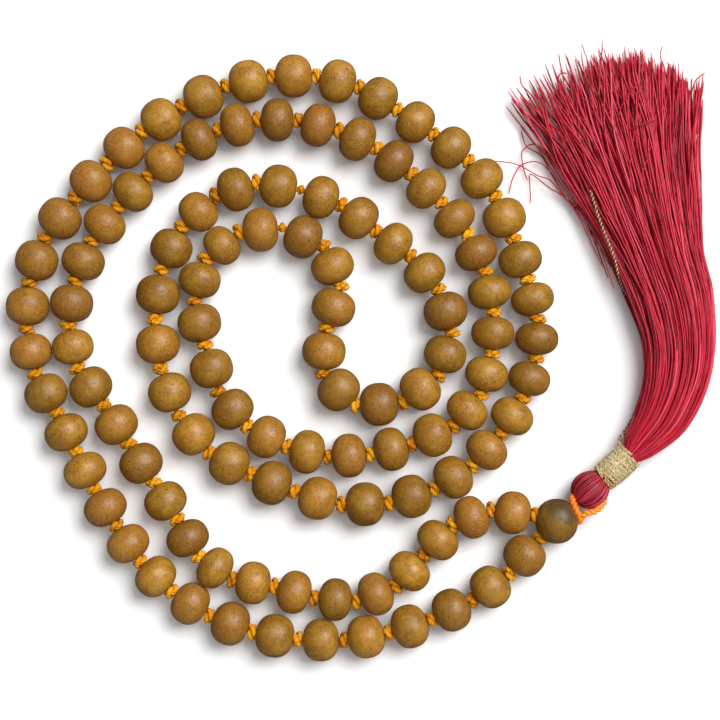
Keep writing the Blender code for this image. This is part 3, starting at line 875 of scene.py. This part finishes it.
loop = Strands()
for route in (LEFT_STRAND_MM, RIGHT_STRAND_MM):
    loop.plies(smooth_path(np.array(route) * MM, 70), 2, ply_radius=0.35 * MM,
               offset=0.29 * MM, turn_length=1.8 * MM, sides=8, tone=0.6)
loop_cord = loop.make("orange_tassel_loop", LOOP_COTTON)
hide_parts("tassel_loop")
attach(loop_cord, "tassel_loop")


# ---------------------------------------------------------------- tassel head

HEAD_CENTRE = Vector((41.5, -24.4, 3.4)) * MM
TASSEL_DIRECTION = Vector((math.cos(math.radians(41)), math.sin(math.radians(41)), 0))
ACROSS = UP.cross(TASSEL_DIRECTION)
HEAD_THREAD_COUNT = 210
HEAD_CORE_DEPTH = 0.16 * MM
HEAD_SILK = spun_fibre("crimson_silk_head", colour(50, 0, 4), colour(146, 4, 26),
                       colour(248, 92, 114), streaks=1.6, roughness=0.34,
                       Specular_IOR_Level=0.35)
# Places along the tassel from the head's centre, and how wide the head is there
HEAD_SECTION_MM = (
    (-3.25, 0.0), (-3.2, 0.75), (-2.95, 1.55), (-2.3, 2.45), (-1.3, 3.1), (-0.2, 3.32),
    (0.9, 3.22), (1.8, 2.85), (2.5, 2.4), (3.0, 2.05), (3.6, 1.9),
)


def tassel_point(along, across, up):
    """A point of the tassel's head, from its centre, in metres."""
    return HEAD_CENTRE + TASSEL_DIRECTION * along + ACROSS * across + UP * up


def head_and_neck():
    """A core wound over with threads that run from the tip into the gold wrap."""
    section = smooth_path([(along, away, 0) for along, away in HEAD_SECTION_MM], 30) * MM
    strands = Strands()
    core = [tassel_point(along, 0, 0) for along in section[:, 0]]
    core_radii = np.maximum(section[:, 1] - HEAD_CORE_DEPTH, 0.05 * MM)
    # The core takes the darkest silk tone: painted shade that shows in the gaps between the
    # threads over it
    strands.tube(core, core_radii, sides=40, tone=0.0, ends=(0.6, 1.0))
    for number in range(HEAD_THREAD_COUNT):
        angle = 2 * math.pi * (number + chance.uniform(-0.3, 0.3)) / HEAD_THREAD_COUNT
        drift = chance.uniform(-0.10, 0.10)
        first = chance.choice((0, 0, 1, 2))
        rise = chance.uniform(-0.08, 0.06) * MM
        path = []
        for index, (along, away, _) in enumerate(section[first:]):
            turned = angle + drift * index / len(section)
            lift = away + rise
            path.append(tassel_point(along, lift * math.cos(turned), lift * math.sin(turned)))
        strands.tube(path, chance.uniform(0.045, 0.09) * MM, tone=chance.uniform(0.1, 0.95))
    return strands.make("silk_tassel_head", HEAD_SILK)


head = head_and_neck()
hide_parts("tassel_head")
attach(head, "tassel")


# ---------------------------------------------------------------- gold wrap

WRAP_START = 2.95 * MM
WRAP_LENGTH = 6.9 * MM
WRAP_RADIUS = 2.30 * MM
WOUND_TURNS = 15
SAMPLES_PER_TURN = 160
CROSSING_THREADS = 11
CROSSING_SAMPLES = 500
TAIL_LEAD_MM = ((47.9, -17.6, 3.7), (47.2, -16.9, 4.1), (46.95, -16.2, 4.0), (46.8, -15.5, 3.5))
LOOSE_LOOP_MM = (
    (48.6, -19.6, 4.2), (49.3, -19.8, 4.9), (49.9, -20.1, 4.9), (50.3, -19.7, 4.5),
    (50.0, -19.1, 4.6), (49.5, -19.0, 4.9), (49.2, -19.3, 4.6),
)


def wrap_radius(share):
    """The radius of the wrap's core, which swells a little in its middle."""
    return WRAP_RADIUS + 0.16 * MM * math.sin(math.pi * share) - 0.05 * MM


def winding(strands, turns, first, last, radius, lift, samples, tone):
    """A thread wound round the wrap from one share of its length to another, unevenly."""
    start = chance.uniform(0, 2 * math.pi)
    path = []
    for sample in range(samples):
        share = sample / (samples - 1)
        place = first + (last - first) * share
        angle = start + 2 * math.pi * turns * share
        away = wrap_radius(place) + lift + 0.04 * MM * math.sin(5.3 * angle + 2 * share)
        slip = 0.08 * MM * math.sin(2.7 * angle) + 0.06 * MM * math.sin(4.4 * angle)
        along = WRAP_START + WRAP_LENGTH * place + slip
        path.append(tassel_point(along, away * math.cos(angle), away * math.sin(angle)))
    strands.plies(path, 2, radius, radius * 0.95, turn_length=0.95 * MM, sides=5, tone=tone)


wrap = Strands()
shares = np.linspace(0.05, 0.95, 16)
core = [tassel_point(WRAP_START + WRAP_LENGTH * share, 0, 0) for share in shares]
# The core takes the darkest gold tone: painted shade that shows in the gaps between the windings
# and at the wrap's ends
wrap.tube(core, [wrap_radius(share) for share in shares], sides=40, tone=0.0,
          ends=(0.97, 0.97))
# The winding beneath gets darker tones than the crossing threads: painted shade under them
winding(wrap, WOUND_TURNS, first=0.02, last=0.98, radius=0.135 * MM, lift=0.06 * MM,
        samples=WOUND_TURNS * SAMPLES_PER_TURN, tone=(0.75, 0.3))
for _ in range(CROSSING_THREADS):
    begin = chance.uniform(0.02, 0.3)
    finish = chance.uniform(0.7, 0.98)
    if chance.random() < 0.5:
        begin, finish = finish, begin
    # The crossing threads on top get the palest tones: painted highlight
    winding(wrap, chance.uniform(1.5, 4), begin, finish, radius=0.11 * MM, lift=0.14 * MM,
            samples=CROSSING_SAMPLES, tone=(1.0, 0.7))
wrap.tube(smooth_path(np.array(LOOSE_LOOP_MM) * MM, 40), 0.13 * MM, sides=6, tone=0.8)
wrap.plies(smooth_path(np.array(TAIL_LEAD_MM) * MM, 30), 2, ply_radius=0.125 * MM,
           offset=0.095 * MM, turn_length=0.9 * MM)
gold_wrap = wrap.make("gold_wrap_winding", GOLD)
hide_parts("tassel_wrap")
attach(gold_wrap, "tassel")


# ---------------------------------------------------------------- tassel skirt

SILK = spun_fibre("crimson_silk", colour(116, 0, 14), colour(190, 18, 44),
                  colour(240, 86, 110), streaks=1.6, roughness=0.36,
                  Specular_IOR_Level=0.35)
# Stations of the skirt from the wrap to the tips: left edge, right edge, underside and top
SKIRT_STATIONS_MM = (
    ((46.9, -17.1), (49.4, -20.0), 1.7, 5.1),
    ((47.75, -16.5), (50.2, -19.3), 1.5, 5.3),
    ((48.2, -14.2), (53.4, -17.8), 0.7, 5.9),
    ((50.0, -9.6), (58.6, -13.6), 0.0, 6.4),
    ((51.2, -4.0), (62.5, -6.3), 0.0, 6.6),
    ((51.0, 2.5), (64.0, 1.5), 0.0, 6.4),
    ((48.7, 9.5), (63.7, 10.5), 0.0, 6.2),
    ((45.0, 18.0), (61.9, 18.5), 0.0, 5.8),
    ((40.6, 26.0), (61.2, 27.5), 0.0, 5.4),
    ((36.4, 34.0), (60.7, 37.0), 0.0, 5.0),
    ((32.0, 41.5), (60.9, 46.5), 0.0, 4.4),
    ((28.0, 48.6), (61.2, 54.6), 0.0, 3.6),
    ((24.4, 55.6), (61.6, 62.0), 0.0, 3.2),
)
# How far in Y the threads reach, from the left edge to the right
TIP_SHARES = (0.0, 0.15, 0.3, 0.5, 0.7, 0.85, 1.0)
TIP_HEIGHTS_MM = (46.5, 49.0, 52.0, 54.2, 53.6, 51.6, 48.6)
LONGEST_PAST_TIP_MM = 2.2
THREAD_SAMPLES = 44
THREAD_COUNT = 820
THREAD_DEPTHS = (1.0, 0.97, 0.92, 0.85, 0.7, 0.5, 0.3)
LOCK_COUNT = 64
# The skirt's left part is thinner, with uneven tips
RAGGED_PART = 0.42
RAGGED_LEFT_OUT = 0.55
CRIMP_MM = 0.26
LOWEST_THREAD_MM = -0.15


def bend_at_neck(piece):
    """Moves the piece's transform into its mesh."""
    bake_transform(piece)


def skirt_points(stations, left_right, low_high, reach):
    """A thread's points: where it is across and up the skirt at each step to its reach."""
    samples = np.linspace(0, reach * (len(stations) - 1), len(left_right))
    index = np.arange(len(stations))
    at = [np.interp(samples, index, column) for column in stations.T]
    left_x, left_y, right_x, right_y, low, high = at
    return np.stack((
        left_x + (right_x - left_x) * left_right,
        left_y + (right_y - left_y) * left_right,
        low + (high - low) * low_high,
    ), axis=1)


def sway(size, waves):
    """A smooth random wander along a thread, zero at its start."""
    marks = np.array([chance.uniform(-1, 1) for _ in range(waves)])
    marks[0] = 0
    place = np.linspace(0, waves - 1, THREAD_SAMPLES)
    whole = np.minimum(np.floor(place).astype(int), waves - 2)
    share = place - whole
    share = share * share * (3 - 2 * share)
    return size * (marks[whole] * (1 - share) + marks[whole + 1] * share)


def skirt_threads():
    """The skirt: silk threads fanned out from the wrap, wavy and a little tangled."""
    rows = [(*left, *right, low, high) for left, right, low, high in SKIRT_STATIONS_MM]
    stations = smooth_rows(np.array(rows), 4)
    upper = Strands()
    lower = Strands()
    steps = np.linspace(0, 1, THREAD_SAMPLES)
    free = steps ** 1.3
    locks = [(chance.random(), chance.random()) for _ in range(LOCK_COUNT)]
    for number in range(THREAD_COUNT):
        turn = 2 * math.pi * number / THREAD_COUNT
        depth = chance.choice(THREAD_DEPTHS)
        across = 0.5 + 0.5 * depth * math.copysign(abs(math.cos(turn)) ** 0.75, math.cos(turn))
        up = 0.5 + 0.5 * depth * math.copysign(abs(math.sin(turn)) ** 0.8, math.sin(turn))
        # Most threads gather in the lock that is nearest, and some in the next
        near = sorted(locks, key=lambda lock: math.hypot(lock[0] - across, lock[1] - up))
        lock = near[chance.choice((0, 0, 0, 1))]
        ragged = across < RAGGED_PART
        if ragged and chance.random() < RAGGED_LEFT_OUT:
            continue
        pull = (0.88 if ragged else 0.42) * steps ** 1.6
        wander = 0.10 if ragged else 0.07
        left_right = across + pull * (lock[0] - across) + free * sway(wander, 6)
        low_high = up + pull * (lock[1] - up) + free * sway(0.16, 7)
        # Some threads at the left edge spread out further
        spread = 0.0 if across > 0.3 else 0.10 * (chance.random() - 0.3)
        left_right = left_right - spread * steps ** 4
        low_high = np.clip(low_high, 0.03, 1.06)
        tip = np.interp(left_right[-1], TIP_SHARES, TIP_HEIGHTS_MM)
        past_tip = chance.gauss(-2.4, 3.2) if ragged else chance.gauss(-0.9, 1.5)
        tip += min(LONGEST_PAST_TIP_MM, past_tip)
        heights = stations[:, 1] + (stations[:, 3] - stations[:, 1]) * across
        reach = np.interp(tip, heights, np.linspace(0, 1, len(stations)))
        points = skirt_points(stations, left_right, low_high, reach)
        points[:, 0] += free * CRIMP_MM * sway(1.0, 21)
        points[:, 2] += free * CRIMP_MM * sway(0.7, 19)
        points[:, 2] = np.maximum(points[:, 2], LOWEST_THREAD_MM)
        radius = chance.uniform(0.11, 0.19) * MM
        tone = min(1.0, max(0.0, chance.gauss(0.5, 0.27)))
        (upper if up > 0.5 else lower).tube(points * MM, radius, tone=tone)
    return upper, lower


# Threads that stray from the skirt
STRAY_ROUTES_MM = (
    ((46.0, 12.0, 3.0), (41.3, 24.8, 2.5), (37.2, 28.5, 1.8), (34.7, 31.6, 1.2),
     (32.3, 32.6, 0.9), (28.4, 34.7, 0.5), (24.4, 35.3, 0.3)),
    ((44.0, 16.0, 2.0), (38.5, 27.0, 1.8), (34.1, 30.5, 1.5), (31.0, 32.9, 0.9),
     (30.9, 30.9, 0.5), (31.0, 28.6, 0.4), (30.9, 27.4, 0.3)),
    ((43.0, 20.0, 2.0), (37.5, 29.0, 1.6), (33.2, 34.6, 1.2), (29.6, 34.7, 0.9),
     (28.0, 32.6, 0.6), (27.4, 30.8, 0.4), (27.1, 29.2, 0.3)),
    ((45.0, 14.0, 1.8), (40.8, 24.7, 1.6), (37.4, 28.5, 1.2), (34.7, 33.0, 0.8),
     (33.0, 36.2, 0.6), (30.2, 38.0, 0.5), (29.3, 41.0, 0.4)),
    ((42.0, 24.0, 1.6), (36.5, 32.0, 1.3), (32.3, 38.0, 1.0), (29.6, 37.2, 0.7),
     (29.6, 34.6, 0.5), (30.4, 31.8, 0.4)),
    ((48.0, 30.0, 5.0), (50.4, 48.3, 4.8), (49.0, 47.4, 5.2), (47.6, 45.8, 5.0),
     (46.8, 43.8, 4.8), (46.6, 42.0, 4.6)),
    ((50.0, 30.0, 5.0), (53.4, 41.4, 5.2), (51.4, 41.6, 5.4), (49.7, 41.2, 5.2),
     (48.6, 40.4, 5.0)),
    ((38.5, 40.0, 3.2), (36.9, 45.0, 3.6), (36.0, 47.6, 3.9), (35.7, 49.6, 4.1),
     (36.3, 50.9, 4.0), (37.4, 50.8, 3.6)),
    ((42.0, 40.0, 3.6), (41.2, 52.0, 3.2), (40.6, 54.8, 2.8), (40.1, 56.4, 2.4)),
    ((38.0, 40.0, 3.0), (36.8, 50.0, 2.6), (36.3, 52.6, 2.2), (36.0, 54.6, 2.0)),
    ((34.0, 41.0, 2.4), (31.4, 46.6, 2.0), (29.4, 48.9, 1.6), (29.0, 50.7, 1.4)),
    ((45.5, 16.0, 1.6), (40.0, 26.0, 1.6), (35.6, 32.4, 1.4), (31.6, 38.6, 1.1),
     (26.5, 45.2, 0.8)),
    ((42.0, 24.0, 1.6), (37.0, 32.0, 1.6), (31.6, 40.4, 1.4), (27.4, 47.0, 1.1)),
    ((54.0, 44.0, 3.0), (54.6, 52.0, 2.6), (54.4, 54.4, 2.2), (54.8, 56.0, 2.0)),
    ((58.0, 40.0, 3.0), (60.4, 48.8, 2.6), (61.6, 50.4, 2.2), (62.6, 51.2, 2.0)),
)

upper, lower = skirt_threads()
for route in STRAY_ROUTES_MM:
    path = smooth_path(np.array(route) * MM, 40)
    upper.tube(path, chance.uniform(0.09, 0.13) * MM, tone=chance.uniform(0.15, 0.6))
for name, threads in (("silk_skirt_upper", upper), ("silk_skirt_lower", lower)):
    skirt = threads.make(name, SILK)
    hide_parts("tassel_skirt")
    bend_at_neck(skirt)
